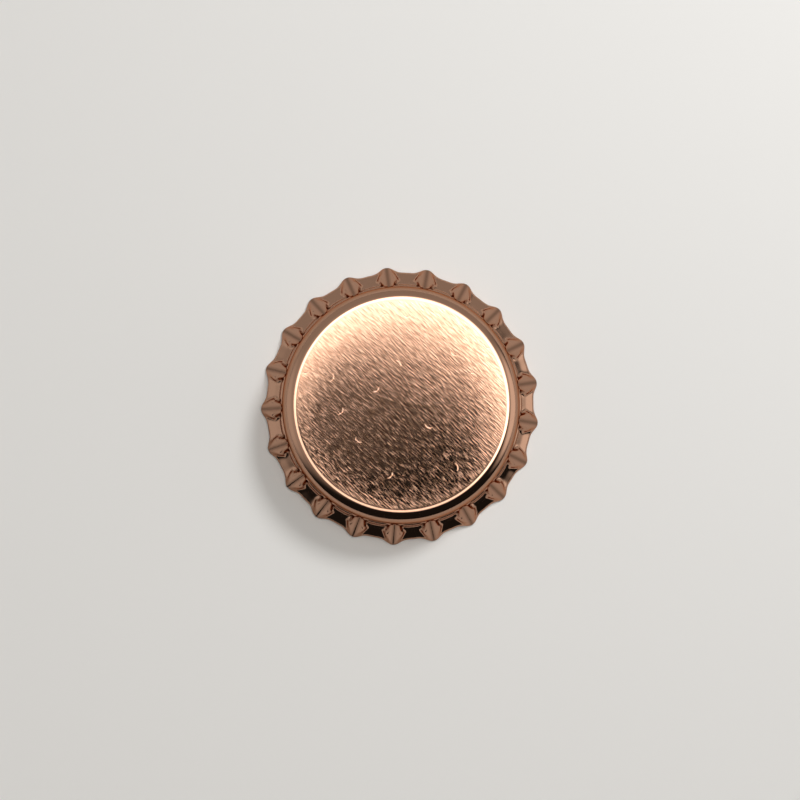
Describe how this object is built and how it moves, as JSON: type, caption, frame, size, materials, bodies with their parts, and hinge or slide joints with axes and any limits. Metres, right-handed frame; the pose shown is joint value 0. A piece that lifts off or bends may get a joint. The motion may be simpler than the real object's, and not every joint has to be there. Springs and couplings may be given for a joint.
{
  "type": "bottle cap",
  "caption": "Uncrimped crown cap: a pressed tinplate disc with a low dome, a rounded corner, a fluted flaring skirt and a moulded sealing liner inside.",
  "frame": {"origin": "centre of the circle through the edge of the skirt, which is the plane the cap stands on", "axes": "+Z is the cap's axis and points up out of the domed top; +X passes through the crest of one flute; the cap is otherwise the same all round"},
  "size_m": [0.0319, 0.032, 0.006],
  "materials": {
    "tinplate": "brushed sheet under a clear rose-gold lacquer",
    "liner": "soft satin moulded polymer"
  },
  "bodies": {
    "root": {"shell": "tinplate", "liner": "liner"}
  },
  "joints": []
}
